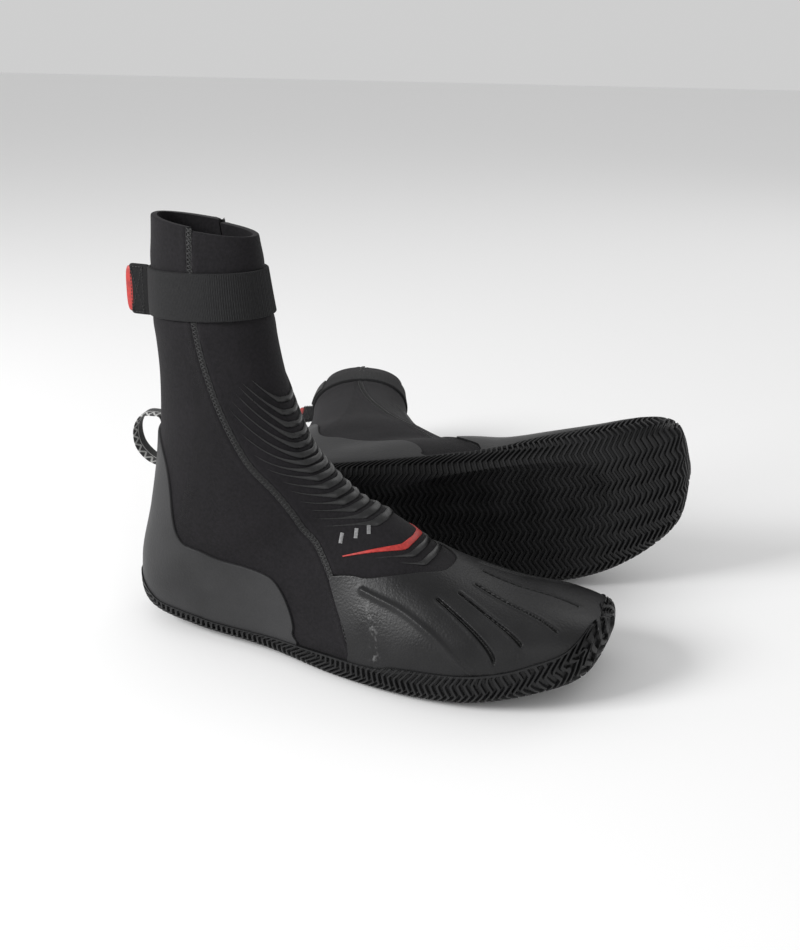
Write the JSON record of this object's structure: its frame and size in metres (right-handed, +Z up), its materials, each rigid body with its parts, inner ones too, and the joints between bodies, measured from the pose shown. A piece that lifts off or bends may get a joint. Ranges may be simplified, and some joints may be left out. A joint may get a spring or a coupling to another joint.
{
  "type": "neoprene boots",
  "caption": "Pair of ankle-high neoprene boots with ribbed instep, rubber heel and toe cups, zigzag tread, ankle strap and pull loop.",
  "frame": {"origin": "on the ground under the middle of the right sole", "axes": "+X towards the right toe, +Y towards the right boot inner side, +Z up"},
  "size_m": [0.3224, 0.3504, 0.242],
  "materials": {
    "neoprene": "matte knitted jersey over foam neoprene",
    "heel_rubber": "smooth satin moulded rubber",
    "toe_rubber": "smooth satin moulded rubber",
    "outsole_rubber": "matte rubber with herringbone tread",
    "footbed_foam": "matte foam with fabric face",
    "rib_rubber": "glossy liquid rubber",
    "red_print": "satin red rubber print",
    "pale_print": "satin pale rubber print",
    "seam_thread": "overlocked polyester thread",
    "strap_elastic": "ribbed elastic webbing",
    "loop_pile": "brushed loop pile",
    "tab_webbing": "woven webbing with box stitching",
    "red_trim": "satin red rubber",
    "tape_webbing": "woven black tape with a pale pattern"
  },
  "bodies": {
    "right_foot": {"right_outsole": "outsole_rubber", "right_bottom_panel": "neoprene", "right_footbed": "footbed_foam", "right_heel_cup": "heel_rubber", "right_toe_cap": "toe_rubber", "right_rear_panel_lower": "neoprene", "right_front_panel_lower": "neoprene", "right_side_seams_lower": "seam_thread", "right_instep_ribs": "rib_rubber", "right_instep_chevron": "red_print", "right_instep_emblem": "pale_print", "right_loop_tacks": "seam_thread"},
    "right_pull_loop": {"right_pull_loop": "tape_webbing"},
    "right_shaft": {"right_rear_panel_upper": "neoprene", "right_front_panel_upper": "neoprene", "right_side_seams_upper": "seam_thread", "right_ankle_strap": "strap_elastic", "right_strap_loop_patch": "loop_pile"},
    "right_strap_tab": {"right_hook_tab": "tab_webbing", "right_tab_grip": "red_trim"},
    "left_foot": {"left_outsole": "outsole_rubber", "left_bottom_panel": "neoprene", "left_footbed": "footbed_foam", "left_heel_cup": "heel_rubber", "left_toe_cap": "toe_rubber", "left_rear_panel_lower": "neoprene", "left_front_panel_lower": "neoprene", "left_side_seams_lower": "seam_thread", "left_instep_ribs": "rib_rubber", "left_instep_chevron": "red_print", "left_instep_emblem": "pale_print", "left_loop_tacks": "seam_thread"},
    "left_pull_loop": {"left_pull_loop": "tape_webbing"},
    "left_shaft": {"left_rear_panel_upper": "neoprene", "left_front_panel_upper": "neoprene", "left_side_seams_upper": "seam_thread", "left_ankle_strap": "strap_elastic", "left_strap_loop_patch": "loop_pile"},
    "left_strap_tab": {"left_hook_tab": "tab_webbing", "left_tab_grip": "red_trim"}
  },
  "joints": [
    {"name": "right_shaft_fold", "type": "hinge", "parent": "right_foot", "child": "right_shaft", "pos_m": [-0.086, 0, 0.173], "axis": [0, 1, 0], "range_deg": [-10, 15], "stiffness_Nm_per_rad": 3},
    {"name": "right_strap_peel", "type": "hinge", "parent": "right_shaft", "child": "right_strap_tab", "pos_m": [-0.12752, -0.00588, 0.19889], "axis": [0, 0, 1], "range_deg": [-25, 95], "stiffness_Nm_per_rad": 0.05},
    {"name": "right_loop_swing", "type": "hinge", "parent": "right_foot", "child": "right_pull_loop", "pos_m": [-0.12732, 0, 0.09402], "axis": [0.0978, 0, 0.9952], "range_deg": [-20, 20], "stiffness_Nm_per_rad": 0.02},
    {"name": "left_boot_lift", "type": "slide", "parent": "right_foot", "child": "left_foot", "axis": [0, 0, 1], "range_m": [0, 0.25]},
    {"name": "left_shaft_fold", "type": "hinge", "parent": "left_foot", "child": "left_shaft", "pos_m": [-0.10338, 0.23392, 0.05371], "axis": [0.0617, 0.1273, -0.9899], "range_deg": [-10, 15], "stiffness_Nm_per_rad": 3},
    {"name": "left_strap_peel", "type": "hinge", "parent": "left_shaft", "child": "left_strap_tab", "pos_m": [-0.15021, 0.24755, 0.04661], "axis": [0.2921, -0.9507, -0.1041], "range_deg": [-25, 95], "stiffness_Nm_per_rad": 0.05},
    {"name": "left_loop_swing", "type": "hinge", "parent": "left_foot", "child": "left_pull_loop", "pos_m": [-0.11975, 0.14715, 0.04154], "axis": [0.1974, -0.9738, -0.1129], "range_deg": [-20, 20], "stiffness_Nm_per_rad": 0.02}
  ]
}
